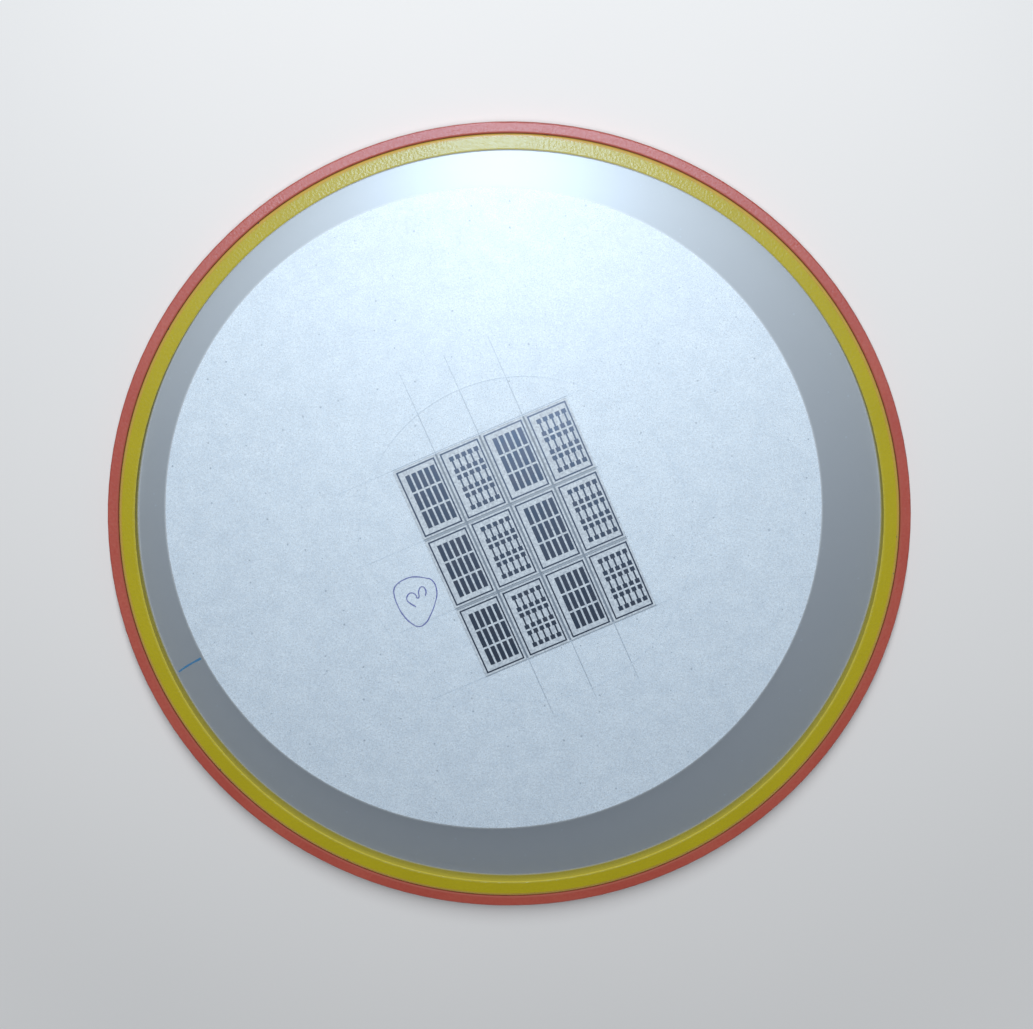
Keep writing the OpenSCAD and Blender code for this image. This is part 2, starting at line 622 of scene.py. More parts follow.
@dataclass(frozen=True)
class StretchedFilm(Finish):
    """Stretched PVC dicing film: clear where it wets the paper or the ring under it,
    smoky where it spans the air between them, and with a wet gloss over a wide satin
    sheen. Slight waves, a sag at the ring's inner edge, veins where it has let go of the
    paper, dust and the ridge that the wafer's edge left catch the light."""

    zone: FilmZone
    bore_r: float
    disc: Triple
    outline: Triple
    block: Quad
    turn: float
    pitch: float
    # its tint, and the colours and shares of its haze
    tint: str = "#FAFCFF"
    haze_paper: str = "#C3CEDA"
    haze_air: str = "#4B535F"
    # pale yellow of the painted highlight on the bend over the shoulder
    bend_highlight_colour: str = "#DDB662"
    # colour of dust specks and saw marks, and of the painted shade in the streets and outline
    dark: str = "#586A80"
    paper_haze: float = 0.02
    # share of the painted highlight on the bend
    air_haze: float = 0.5
    bend_highlight: float = 0.34
    cloud_haze: float = 0.04
    grain_haze: float = 0.12
    vein_haze: float = 0.16
    dust_haze: float = 0.16
    forward: float = 0.5
    # its wet mirror and its satin sheen
    ior: float = 1.58
    polish: float = 0.22
    satin: float = 0.48
    mirror: Gloss = Gloss(ring=0.58, paper=0.15, air=1.0)
    mirror_tint: str = "#BCDDFF"
    sheen: Gloss = Gloss(ring=0.018, paper=0.175, air=0.235)
    sheen_tint: str = "#E6F4FF"
    # its relief
    wave_mm: float = 14.0
    wave_height: float = 0.015
    pucker_mm: float = 0.8
    pucker_height: float = 0.06
    ridge_half: float = 0.5
    ridge_height: float = 0.008
    sag: float = 0.11
    # where steps across a circle start and end, out from its radius
    sag_at: Point = (-0.1, 0.65)
    air_centre: Point = (0.0, 1.3)
    air_edge: Point = (-0.7, -1.55)
    disc_edge: Point = (-0.2, 0.5)
    cut_fade: Point = (0.3, -0.3)
    # the radius and half width of the painted highlight on the bend
    bend: Point = (115.5, 0.9)
    # clouds, grain, veins and dust
    cloud_mm: float = 24.0
    grain_mm: float = 0.8
    blotch_mm: float = 9.0
    patch_mm: float = 13.0
    veins_from: Point = (72.0, 86.0)
    vein_line: Point = (0.022, 0.9)
    vein_inside: float = 0.2
    dust_mm: float = 5.5
    # haze in the streets, which is painted shade, in the cuts past them and in the pressed
    # outline, whose upper arc is painted shade, and its reach
    street: Point = (0.75, 0.24)
    street_inset: Point = (0.35, 0.45)
    street_half: Point = (0.3, 0.4)
    cut_haze: Point = (0.17, 0.3)
    cross_haze: Point = (0.1, 0.045)
    cross_past: float = 0.2
    pressed_mark_and_shade: Point = (0.15, 0.03)
    # the outline's haze: painted shade at its upper arc, elsewhere a faint mark
    pressed_at: float = 91.0
    pressed_half: Point = (24.0, 36.0)

    def spot(self, tree: Tree) -> Spot:
        """Adds the nodes that tell where on the film a point lies.

        Args:
            tree: the material's tree.

        Returns:
            Their outputs.
        """
        place = self.place(tree)
        off_ring = past_circle(tree, place, self.bore_r, self.air_edge, self.air_centre)
        off_disc = past_circle(tree, place, self.disc[2], self.disc_edge, self.disc[:2])
        back = add(tree, "ShaderNodeNewGeometry").outputs["Backfacing"]
        own = add(
            tree, "ShaderNodeMapping",
            {
                "Vector": place, "Location": (self.outline[0] * MM, self.outline[1] * MM, 0.0),
                "Rotation": (0.0, 0.0, math.radians(self.turn)),
            },
            vector_type="TEXTURE",
        )
        split = add(tree, "ShaderNodeSeparateXYZ", {0: own})
        return Spot(
            tree=tree,
            place=place,
            paper=add(tree, "ShaderNodeMath", {0: 1.0, 1: off_disc}, operation="SUBTRACT"),
            air=add(tree, "ShaderNodeMath", {0: off_ring, 1: off_disc}, operation="MULTIPLY"),
            front=add(tree, "ShaderNodeMath", {0: 1.0, 1: back}, operation="SUBTRACT"),
            from_wafer=from_axis(tree, place, self.outline[:2]),
            across=split.outputs["X"],
            along=split.outputs["Y"],
        )

    def veins(self, at: Spot) -> Node:
        """Soft blotches with broken borders near the paper's far edge, where the film has
        let go of it.

        Args:
            at: the place on the film.

        Returns:
            The node whose output is 1 on a border and a share of it inside a blotch.
        """
        tree = at.tree
        blotch = add(
            tree, "ShaderNodeTexNoise",
            {
                "Vector": at.place, "Scale": per_mm(self.blotch_mm), "Detail": 4.0,
                "Roughness": 0.6, "Distortion": 0.4,
            },
        )
        line = peak(tree, blotch, 0.5, *self.vein_line)
        inside = add(
            tree, "ShaderNodeMapRange",
            {"Value": blotch, "From Min": 0.49, "From Max": 0.53, "To Max": self.vein_inside},
        )
        line = add(tree, "ShaderNodeMath", {0: line, 1: inside}, operation="ADD")
        patch = add(
            tree, "ShaderNodeTexNoise",
            {"Vector": at.place, "Scale": per_mm(self.patch_mm), "Detail": 1.0},
        )
        broken = add(
            tree, "ShaderNodeMapRange", {"Value": patch, "From Min": 0.4, "From Max": 0.55}
        )
        depth = add(tree, "ShaderNodeSeparateXYZ", {0: at.place}).outputs["Y"]
        near, far = (way * MM for way in self.veins_from)
        far = add(
            tree, "ShaderNodeMapRange", {"Value": depth, "From Min": near, "From Max": far},
            interpolation_type="SMOOTHSTEP",
        )
        for share in (broken, far, at.paper):
            line = add(tree, "ShaderNodeMath", {0: line, 1: share}, operation="MULTIPLY")
        return line

    def dust(self, at: Spot) -> Node:
        """Sparse dark specks, a few tenths of a millimetre wide.

        Args:
            at: the place on the film.

        Returns:
            The node whose output is 1 in a speck.
        """
        cell = add(
            at.tree, "ShaderNodeTexVoronoi", {"Vector": at.place, "Scale": per_mm(self.dust_mm)},
            voronoi_dimensions="2D",
        )
        draw = add(at.tree, "ShaderNodeSeparateXYZ", {0: cell.outputs["Color"]}).outputs["X"]
        size = add(
            at.tree, "ShaderNodeMapRange",
            {"Value": draw, "From Min": 0.5, "From Max": 1.0, "To Min": -0.01, "To Max": 0.055},
        )
        return add(
            at.tree, "ShaderNodeMath", {0: cell.outputs["Distance"], 1: size}, operation="LESS_THAN"
        )

    def sheet(self, at: Spot) -> Node:
        """The film without its gloss: clear, with as much haze as each place has.

        Args:
            at: the place on the film.

        Returns:
            The shader node.
        """
        tree, place, air = at.tree, at.place, at.air
        cloud = add(
            tree, "ShaderNodeTexNoise",
            {"Vector": place, "Scale": per_mm(self.cloud_mm), "Detail": 3.0, "Roughness": 0.6},
        )
        grain = add(
            tree, "ShaderNodeTexNoise",
            {"Vector": place, "Scale": per_mm(self.grain_mm), "Detail": 2.0, "Roughness": 0.8},
        )
        fleck = add(
            tree, "ShaderNodeMapRange",
            {"Value": grain, "From Min": 0.48, "From Max": 0.75, "To Max": self.grain_haze},
        )
        haze = add(
            tree, "ShaderNodeMath", {0: cloud, 1: self.cloud_haze, 2: fleck},
            operation="MULTIPLY_ADD",
        )
        haze = add(
            tree, "ShaderNodeMath", {0: self.veins(at), 1: self.vein_haze, 2: haze},
            operation="MULTIPLY_ADD",
        )
        haze = add(tree, "ShaderNodeMath", {0: self.paper_haze, 1: haze}, operation="ADD")
        speck = self.dust(at)
        haze = add(
            tree, "ShaderNodeMath", {0: speck, 1: self.dust_haze, 2: haze}, operation="MULTIPLY_ADD"
        )
        haze = add(tree, "ShaderNodeMath", {0: haze, 1: at.paper}, operation="MULTIPLY")
        # haze scatters light forward, so it dims what lies below less than it veils it
        shaded = add(tree, "ShaderNodeLightPath").outputs["Is Shadow Ray"]
        veil = add(
            tree, "ShaderNodeMath", {0: shaded, 1: -self.forward * self.air_haze, 2: self.air_haze},
            operation="MULTIPLY_ADD",
        )
        haze = add(tree, "ShaderNodeMath", {0: air, 1: veil, 2: haze}, operation="MULTIPLY_ADD")
        pale = add(
            tree, "ShaderNodeMix", {0: air, 6: linear(self.haze_paper), 7: linear(self.haze_air)},
            data_type="RGBA",
        )
        # painted highlight: a pale yellow veil where it bends over the inner ring's shoulder
        middle, half = (size * MM for size in self.bend)
        bent = peak(tree, from_axis(tree, place), middle, half, self.bend_highlight)
        haze = add(tree, "ShaderNodeMath", {0: haze, 1: bent}, operation="ADD")
        at_bend = add(tree, "ShaderNodeMath", {0: bent, 1: 0.0}, operation="GREATER_THAN")
        pale = add(
            tree, "ShaderNodeMix", {0: at_bend, 6: pale.outputs[2], 7: linear(self.bend_highlight_colour)},
            data_type="RGBA",
        )
        # painted shade in the streets between the dies, drawn in the dark colour
        street_shade = self.street_shade_strength(at)
        haze = add(tree, "ShaderNodeMath", {0: street_shade, 1: haze}, operation="MAXIMUM")
        dark = add(tree, "ShaderNodeMath", {0: street_shade, 1: 0.0}, operation="GREATER_THAN")
        dark = add(tree, "ShaderNodeMath", {0: speck, 1: dark}, operation="MAXIMUM")
        colour = add(
            tree, "ShaderNodeMix", {0: dark, 6: pale.outputs[2], 7: linear(self.dark)},
            data_type="RGBA",
        ).outputs[2]
        if self.zone is not FilmZone.SHEET:
            strength = self.mark_strength(at)
            haze = add(tree, "ShaderNodeMath", {0: strength, 1: haze}, operation="MAXIMUM")
            colour = linear(self.dark)
        # the haze of both faces is put on the one where a ray enters, which is quicker
        rest = add(tree, "ShaderNodeMath", {0: 2.0, 1: haze}, operation="SUBTRACT")
        haze = add(tree, "ShaderNodeMath", {0: haze, 1: rest}, operation="MULTIPLY")
        haze = add(tree, "ShaderNodeMath", {0: haze, 1: at.front}, operation="MULTIPLY")
        body = add(tree, "ShaderNodeBsdfDiffuse", {"Color": colour})
        clear = add(tree, "ShaderNodeBsdfTransparent", {"Color": linear(self.tint)})
        return add(tree, "ShaderNodeMixShader", {0: haze, 1: clear, 2: body})

    def relief(self, at: Spot) -> Node:
        """Slight waves, puckers and a sag on the ring, the ridge of the wafer's outline.

        Args:
            at: the place on the film.

        Returns:
            The bump node.
        """
        tree, place = at.tree, at.place
        wave = add(
            tree, "ShaderNodeTexNoise",
            {"Vector": place, "Scale": per_mm(self.wave_mm), "Detail": 1.0},
        )
        outline_r, half = self.outline[2] * MM, self.ridge_half * MM
        ridge = peak(tree, at.from_wafer, outline_r, half, self.ridge_height)
        height = add(
            tree, "ShaderNodeMath", {0: wave, 1: self.wave_height, 2: ridge},
            operation="MULTIPLY_ADD",
        )
        pucker = add(
            tree, "ShaderNodeTexNoise",
            {"Vector": place, "Scale": per_mm(self.pucker_mm), "Detail": 1.0, "Roughness": 0.6},
        )
        on_ring = add(tree, "ShaderNodeMath", {0: 1.0, 1: at.paper}, operation="SUBTRACT")
        on_ring = add(tree, "ShaderNodeMath", {0: on_ring, 1: at.air}, operation="SUBTRACT")
        pucker = add(tree, "ShaderNodeMath", {0: pucker, 1: on_ring}, operation="MULTIPLY")
        height = add(
            tree, "ShaderNodeMath", {0: pucker, 1: self.pucker_height, 2: height},
            operation="MULTIPLY_ADD",
        )
        sag = past_circle(tree, place, self.bore_r, self.sag_at)
        height = add(
            tree, "ShaderNodeMath", {0: sag, 1: self.sag, 2: height}, operation="MULTIPLY_ADD"
        )
        return add(
            tree, "ShaderNodeBump", {"Height": height, "Strength": 1.0, "Distance": 1.0 * MM}
        )

    def build(self) -> Material:
        """Makes the material.

        Returns:
            The finished material.
        """
        material, tree, out = self.start()
        at = self.spot(tree)
        bump = self.relief(at)
        # the front faces mirror for both, so that a closed sheet isn't counted twice
        fresnel = add(tree, "ShaderNodeFresnel", {"IOR": self.ior, "Normal": bump})
        facing = add(tree, "ShaderNodeMath", {0: fresnel, 1: at.front}, operation="MULTIPLY")
        surface = self.sheet(at)
        for gloss, roughness, amount, tint in (
            (self.mirror, self.polish, facing, self.mirror_tint),
            (self.sheen, self.satin, at.front, self.sheen_tint),
        ):
            lobe = add(
                tree, "ShaderNodeBsdfAnisotropic",
                {"Color": linear(tint), "Roughness": roughness, "Normal": bump},
            )
            part = add(
                tree, "ShaderNodeMath", {0: gloss.share(at), 1: amount}, operation="MULTIPLY",
                use_clamp=True,
            )
            surface = add(tree, "ShaderNodeMixShader", {0: part, 1: surface, 2: lobe})
        tree.links.new(surface.outputs[0], out.inputs["Surface"])
        return material

    def street_shade_strength(self, at: Spot) -> Node:
        """How much painted shade darkens the film in the streets between the dies, where the
        dies shade it: more in the columns' streets than in the rows'.

        Args:
            at: the place on the film.

        Returns:
            The node whose output is the haze of the dust.
        """
        tree = at.tree
        left, foot, right, top = (side * MM for side in self.block)
        columns, rows = (
            add(
                tree, "ShaderNodeMath",
                {0: way, 1: (high + low) / 2, 2: (high - low) / 2 - inset * MM},
                operation="COMPARE",
            )
            for way, low, high, inset in (
                (at.across, left, right, self.street_inset[0]),
                (at.along, foot, top, self.street_inset[1]),
            )
        )
        inside = add(tree, "ShaderNodeMath", {0: columns, 1: rows}, operation="MULTIPLY")
        from_left = add(tree, "ShaderNodeMath", {0: at.across, 1: left}, operation="SUBTRACT")
        off_line = add(
            tree, "ShaderNodeMath", {0: from_left, 1: self.pitch / 2 * MM}, operation="PINGPONG"
        )
        depth = add(
            tree, "ShaderNodeMapRange",
            {
                "Value": off_line, "From Min": self.street_half[0] * MM,
                "From Max": self.street_half[1] * MM, "To Min": self.street[0],
                "To Max": self.street[1],
            },
        )
        return add(tree, "ShaderNodeMath", {0: inside, 1: depth}, operation="MULTIPLY")

    def mark_strength(self, at: Spot) -> Node:
        """How strongly a mark in the film shows at each place.

        Args:
            at: the place on the film.

        Returns:
            The node whose output is the haze of the mark.
        """
        if self.zone is FilmZone.OUTLINE:
            return self.outline_mark_and_shade(at)
        tree = at.tree
        left, _, right, _ = (side * MM for side in self.block)
        # fainter past the wafer's outline
        outside, inside = ((self.outline[2] + way) * MM for way in self.cut_fade)
        under = add(
            tree, "ShaderNodeMapRange",
            {
                "Value": at.from_wafer, "From Min": outside, "From Max": inside,
                "To Min": self.cut_haze[0], "To Max": self.cut_haze[1],
            },
        )
        # the cross cuts hardly mark the film beside the block
        within = add(
            tree, "ShaderNodeMath",
            {0: at.across, 1: (left + right) / 2, 2: (right - left) / 2 + self.cross_past * MM},
            operation="COMPARE",
        )
        beside = add(
            tree, "ShaderNodeMapRange",
            {
                "Value": at.across, "From Min": left, "From Max": right,
                "To Min": self.cross_haze[0], "To Max": self.cross_haze[1],
            },
        )
        return add(tree, "ShaderNodeMix", {0: within, 2: beside, 3: under}, data_type="FLOAT")

    def outline_mark_and_shade(self, at: Spot) -> Node:
        """How strongly the pressed outline shows: faintly all round, as a mark, and strongly
        past the upper end of the block, where the darker arc is painted shade of the side
        of the ridge that faces away from the light.

        Args:
            at: the place on the film.

        Returns:
            The node whose output is the haze of the line.
        """
        tree, middle = at.tree, math.radians(self.pressed_at)
        angle = add(tree, "ShaderNodeMath", {0: at.along, 1: at.across}, operation="ARCTAN2")
        off = add(tree, "ShaderNodeMath", {0: angle, 1: middle}, operation="SUBTRACT")
        off = add(tree, "ShaderNodeMath", {0: off}, operation="ABSOLUTE")
        return add(
            tree, "ShaderNodeMapRange",
            {
                "Value": off, "From Min": math.radians(self.pressed_half[0]),
                "From Max": math.radians(self.pressed_half[1]), "To Min": self.pressed_mark_and_shade[0],
                "To Max": self.pressed_mark_and_shade[1],
            },
        )


@dataclass(frozen=True)
class PenInk(Finish):
    """Ink of a fine marker on plastic: translucent blue-violet, thin in the middle of a
    stroke and pooled at its turns, with dry spots where the pen skipped."""

    colour: str
    pooled: str
    cover: float = 0.8
    skip_mm: float = 1.6

    def build(self) -> Material:
        """Makes the material.

        Returns:
            The finished material.
        """
        material, tree, out = self.start()
        place = self.place(tree)
        skip = add(
            tree, "ShaderNodeTexNoise",
            {"Vector": place, "Scale": per_mm(self.skip_mm), "Detail": 4.0},
        )
        colour = drift(tree, skip, (0.35, 0.65), (self.colour, self.pooled))
        cover = add(
            tree, "ShaderNodeMapRange",
            {
                "Value": skip, "From Min": 0.3, "From Max": 0.6, "To Min": self.cover - 0.4,
                "To Max": self.cover,
            },
        )
        shader = add(
            tree, "ShaderNodeBsdfPrincipled",
            {"Base Color": colour, "Roughness": 0.45, "Alpha": cover},
        )
        tree.links.new(shader.outputs[0], out.inputs["Surface"])
        return material


@dataclass(frozen=True)
class StudioFloor(Finish):
    """Matte painted board: pale and even, with a breath of unevenness. Far from the
    object it fades into the pale backdrop, which lights nothing."""

    colour: str = "#DDDFE1"
    shade: str = "#D6D9DC"
    backdrop: str = "#D9DBDE"
    cloud_mm: float = 180.0
    fade: Point = (170.0, 420.0)

    def build(self) -> Material:
        """Makes the material.

        Returns:
            The finished material.
        """
        material, tree, out = self.start()
        place = self.place(tree)
        cloud = add(
            tree, "ShaderNodeTexNoise",
            {"Vector": place, "Scale": per_mm(self.cloud_mm), "Detail": 2.0},
        )
        colour = drift(tree, cloud, (0.0, 1.0), (self.colour, self.shade))
        shader = add(
            tree, "ShaderNodeBsdfPrincipled",
            {"Base Color": colour, "Roughness": 0.9, "Specular IOR Level": 0.2},
        )
        away = past_circle(tree, place, 0.0, self.fade)
        away = add(tree, "ShaderNodeMath", {0: away, 1: seen(tree)}, operation="MULTIPLY")
        glow = add(tree, "ShaderNodeEmission", {"Color": linear(self.backdrop), "Strength": 1.0})
        surface = add(tree, "ShaderNodeMixShader", {0: away, 1: shader, 2: glow})
        tree.links.new(surface.outputs[0], out.inputs["Surface"])
        material.cycles.emission_sampling = "NONE"
        return material


# ---------------------------------------------------------------- the object


@dataclass
class GripRings:
    """The two moulded rings, which keep their solids and get their plastics."""

    nodes: dict
    outer: MouldedPlastic = field(
        default_factory=lambda: MouldedPlastic(
            "red moulded polystyrene", colour="#A04133", pale="#B6624F", edge_r=116.4,
            edge="#9C4A34", mirror=0.68,
        )
    )
    inner: MouldedPlastic = field(
        default_factory=lambda: MouldedPlastic(
            # its paler edge colour is painted light on the bore wall, where light falls through the
            # film
            "yellow moulded polystyrene", colour="#B3A200", pale="#C4B210", edge_r=111.25,
            edge="#DCC93E", mirror=0.08,
        )
    )

    def build(self) -> list[str]:
        """Dresses the rings.

        Returns:
            The names of the nodes.
        """
        dress(self.nodes["outer_ring"], self.outer.build())
        dress(self.nodes["inner_ring"], self.inner.build())
        return ["outer_ring", "inner_ring"]


@dataclass
class WaferPlace:
    """Where the wafer sat on the film, and how its block of dies is laid out."""

    centre: Point = (4.6, -3.2)
    turn: float = 23.6
    outline_r: float = 49.6
    block: Point = (0.42, 0.87)
    pitch: Point = (14.0, 23.0)
    columns: int = 4
    rows: int = 3

    def sides(self) -> Quad:
        """Works out where the block of dies ends.

        Returns:
            Its left, foot, right and top, from the wafer's centre.
        """
        half_w = self.columns * self.pitch[0] / 2
        half_l = self.rows * self.pitch[1] / 2
        x, y = self.block
        return x - half_w, y - half_l, x + half_w, y + half_l

    def out(self, x: float, y: float) -> Vector:
        """A place in the wafer's own directions, as one on the rings, in millimetres."""
        turned = Matrix.Rotation(math.radians(self.turn), 2) @ Vector((x, y))
        return turned + Vector(self.centre)


@dataclass
class DicingFilm:
    """The film as one closed sheet: flat over the inner ring, bent over its shoulder
    and down between the rings to the hem, with the saw's grooves cut into it."""

    wafer: WaferPlace
    top: float = 6.46
    thickness: float = 0.09
    rim_r: float = 115.95
    hem: float = 0.82
    shoulder: float = 1.0
    bore_r: float = 111.15
    disc: Triple = (-4.7, 3.7, 97.2)
    steps: int = 256
    groove_w: float = 0.3
    groove_d: float = 0.05
    overrun: Point = (11.0, 3.0)
    cross: Point = (18.0, 5.0)
    cutter_h: float = 1.0
    flat_inset: float = 0.6
    marks_r: float = 80.0
    slack: float = 0.005
    ring_spread: float = 0.5

    def cut_level(self) -> float:
        """Height of the middle of a cutter that stands in the floor of a groove."""
        return (self.top - self.groove_d + self.cutter_h / 2) * MM

    def cutter(self, low: Point, high: Point) -> Object:
        """A block that cuts one straight groove.

        Args:
            low: its lower left corner in the wafer's directions.
            high: its upper right corner.

        Returns:
            The block, standing in the film's top face.
        """
        middle = self.wafer.out((low[0] + high[0]) / 2, (low[1] + high[1]) / 2)
        deselect()
        bpy.ops.mesh.primitive_cube_add(
            size=1, location=(middle.x * MM, middle.y * MM, self.cut_level()),
            rotation=(0, 0, math.radians(self.wafer.turn)),
        )
        block = bpy.context.object
        block.scale = Vector((high[0] - low[0], high[1] - low[1], self.cutter_h)) * MM
        return settle(block, "groove_cutter")

    def cutters(self) -> list[Object]:
        """Makes the tools of the long cuts, the cross cuts and the pressed outline.

        Returns:
            A block for each cut, and the outline's pipe.
        """
        place, half = self.wafer, self.groove_w / 2
        left, _, right, top = place.sides()
        tools = []
        foot_end = -place.outline_r - self.overrun[1]
        top_end = place.outline_r + self.overrun[0]
        for column in range(1, place.columns):
            x = left + column * place.pitch[0]
            tools.append(self.cutter((x - half, foot_end), (x + half, top_end)))
        for row in range(place.rows + 1):
            y = top - row * place.pitch[1]
            tools.append(
                self.cutter((left - self.cross[0], y - half), (right + self.cross[1], y + half))
            )
        tools.append(self.outline_cutter())
        return tools

    def outline_cutter(self) -> Object:
        """Makes the thin pipe that presses the wafer's outline into the film.

        Returns:
            The pipe.
        """
        deselect()
        x, y = self.wafer.centre
        bpy.ops.mesh.primitive_cylinder_add(
            vertices=self.steps, radius=(self.wafer.outline_r + self.groove_w / 2) * MM,
            depth=self.cutter_h * MM, end_fill_type="NOTHING",
            location=(x * MM, y * MM, self.cut_level()),
        )
        pipe = settle(bpy.context.object, "outline_cutter")
        wall = pipe.modifiers.new("wall", "SOLIDIFY")
        wall.thickness = self.groove_w * MM
        wall.offset = -1
        bpy.ops.object.modifier_apply(modifier=wall.name)
        return pipe

    def sheet(self) -> Object:
        """Makes the closed sheet before it is scored.

        Returns:
            The sheet.
        """
        deselect()
        bpy.ops.mesh.primitive_cylinder_add(
            vertices=self.steps, radius=self.rim_r * MM, depth=(self.top - self.hem) * MM,
            end_fill_type="NGON", location=(0, 0, (self.top + self.hem) / 2 * MM),
        )
        film = settle(bpy.context.object, "film_sheet")
        pick(film, Part.FACE, lambda face: face.normal.z < -0.5)
        editing(film, Part.FACE, lambda: bpy.ops.mesh.delete(type="FACE"))
        level = (self.top - self.slack) * MM
        pick(film, Part.EDGE, lambda ends: all(end.z > level for end in ends))
        editing(
            film,
            Part.EDGE,
            lambda: bpy.ops.mesh.bevel(
                offset=self.shoulder * MM, offset_type="OFFSET", segments=6, profile=0.5
            ),
        )
        # the flat top is the only face with more than four corners
        pick(film, Part.FACE, lambda face: face.normal.z > 0.999 and len(face.vertices) > 4)
        editing(film, Part.FACE, lambda: bpy.ops.mesh.inset(thickness=self.flat_inset * MM))
        wall = film.modifiers.new("thickness", "SOLIDIFY")
        wall.thickness = self.thickness * MM
        wall.offset = -1
        wall.use_even_offset = True
        only(film)
        bpy.ops.object.modifier_apply(modifier=wall.name)
        return film

    def build(self) -> Object:
        """Makes the scored film.

        Returns:
            The film, which stands for its CAD node.
        """
        film = self.sheet()
        for tool in self.cutters():
            cut = film.modifiers.new("groove", "BOOLEAN")
            cut.operation = "DIFFERENCE"
            cut.solver = "EXACT"
            cut.object = tool
            only(film)
            bpy.ops.object.modifier_apply(modifier=cut.name)
            bpy.data.objects.remove(tool)
        smooth(film, 30)
        self.mark_zones(film)
        shared = dict(
            bore_r=self.bore_r, disc=self.disc, outline=(*self.wafer.centre, self.wafer.outline_r),
            block=self.wafer.sides(), turn=self.wafer.turn, pitch=self.wafer.pitch[0],
        )
        dress(film, *(StretchedFilm(zone.value, zone=zone, **shared).build() for zone in FilmZone))
        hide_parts("dicing_film")
        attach(film, "root")
        return film

    def mark_zones(self, film: Object) -> None:
        """Gives the faces of the grooves their own materials.

        Args:
            film: the scored film.
        """
        centre = Vector(self.wafer.centre) * MM
        for face in film.data.polygons:
            middle = face.center
            depth = self.top - middle.z / MM
            grooved = self.slack < depth < self.groove_d + self.slack
            if not grooved or middle.xy.length > self.marks_r * MM:
                face.material_index = 0
                continue
            # a face of the ring groove runs along the outline, one of a cut may cross it
            reach = (middle.xy - centre).length / MM - self.wafer.outline_r
            ends = [(film.data.vertices[i].co.xy - centre).length / MM for i in face.vertices]
            ring = abs(reach) < self.groove_w * 0.6 and max(ends) - min(ends) < self.ring_spread
            face.material_index = 2 if ring else 1


@dataclass
class BackingDisc:
    """The white disc under the film, which keeps its solid."""

    nodes: dict

    def build(self) -> list[str]:
        """Dresses the disc, and returns its node's name in a list."""
        dress(self.nodes["backing_disc"], BackingPaper("calendered white paper").build())
        return ["backing_disc"]


@dataclass
class DicedWafer:
    """The twelve sawn dies and the metal pattern on each, which keep their solids."""

    nodes: dict

    def build(self) -> list[str]:
        """Dresses the dies and their patterns.

        Returns:
            The names of the nodes.
        """
        looks = {
            "die": CoatedSilicon("silicon, sawn, with a pale coat").build(),
            "metal": PatternMetal("sputtered metal, etched").build(),
        }
        done = sorted(name for name in self.nodes if name.split("_")[0] in looks)
        for name in done:
            dress(self.nodes[name], looks[name.split("_")[0]])
        return done


@dataclass
class PenMarks:
    """The hand-drawn marks on the film: a 3 in a loop, and a short tick near the ring."""

    level: float = 6.47
    stroke: float = 0.38
    depth: float = 0.02
    tick_stroke: float = 0.85
    tick_start: float = 0.55
    wobble: Triple = (0.9, 0.18, 2.1)
    loop: tuple = (
        (-29.98, -14.08), (-27.92, -13.87), (-25.26, -14.22), (-23.33, -14.84),
        (-21.83, -18.34), (-22.25, -21.52), (-23.75, -25.66), (-25.38, -28.3),
        (-27.27, -29.27), (-29.4, -28.29), (-31.65, -26.07), (-33.48, -22.89),
        (-34.57, -19.44), (-34.55, -17.51), (-33.4, -15.86), (-31.52, -14.69),
    )
    numeral: tuple = (
        (-25.24, -19.72), (-25.09, -18.2), (-26.21, -16.9), (-27.22, -18.07),
        (-27.51, -20.41), (-28.24, -19.3), (-29.43, -18.82), (-30.64, -19.72),
        (-30.72, -21.1), (-30.13, -21.79), (-28.14, -23.1),
    )
    tick: tuple = ((-99.73, -43.35), (-97.6, -41.8), (-95.2, -40.35), (-92.93, -39.1))

    def draw(
        self, name: str, points: tuple, width: float, closed: bool, start: float = 1.0
    ) -> Object:
        """Draws one stroke as a flat, rounded line on the film.

        Args:
            name: the name of the piece.
            points: the places that the pen passed, in millimetres.
            width: the width of the line.
            closed: whether the stroke ends where it starts.
            start: the width at the first point, as a share of that at the last.

        Returns:
            The stroke.
        """
        deselect()
        bpy.ops.curve.primitive_bezier_curve_add()
        line = bpy.context.object
        curve = line.data
        curve.splines.clear()
        spline = curve.splines.new("BEZIER")
        spline.bezier_points.add(len(points) - 1)
        mean, sway, pace = self.wobble
        for index, (x, y) in enumerate(points):
            knot = spline.bezier_points[index]
            knot.co = (x * MM, y * MM, self.level * MM)
            knot.handle_left_type = knot.handle_right_type = "AUTO"
            weight = start + (1 - start) * index / (len(points) - 1)
            knot.radius = weight * (mean + sway * math.sin(pace * index))
        spline.use_cyclic_u = closed
        curve.bevel_depth = width / 2 * MM
        curve.bevel_resolution = 2
        curve.resolution_u = 8
        curve.use_fill_caps = True
        only(line)
        bpy.ops.object.convert(target="MESH")
        line = settle(bpy.context.object, name)
        flat = self.depth / width

        def press() -> None:
            """Presses the line flat onto the film and closes its seams."""
            bpy.ops.mesh.select_all(action="SELECT")
            bpy.ops.transform.resize(value=(1, 1, flat), center_override=(0, 0, self.level * MM))
            bpy.ops.mesh.remove_doubles(threshold=0.001 * MM)
            bpy.ops.mesh.normals_make_consistent(inside=False)

        editing(line, Part.VERT, press)
        smooth(line, 60)
        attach(line, "root")
        return line

    def build(self) -> list[Object]:
        """Draws all the strokes.

        Returns:
            The pieces.
        """
        violet = PenInk("blue-violet marker ink", colour="#7D88C2", pooled="#5A66B0").build()
        blue = PenInk("blue marker ink", colour="#3F86B4", pooled="#2C6FA8").build()
        loop = self.draw("ink_loop", self.loop, self.stroke, True)
        numeral = self.draw("ink_numeral", self.numeral, self.stroke, False)
        tick = self.draw("ink_tick", self.tick, self.tick_stroke, False, self.tick_start)
        dress(loop, violet)
        dress(numeral, violet)
        dress(tick, blue)
        return [loop, numeral, tick]


# ---------------------------------------------------------------- the studio


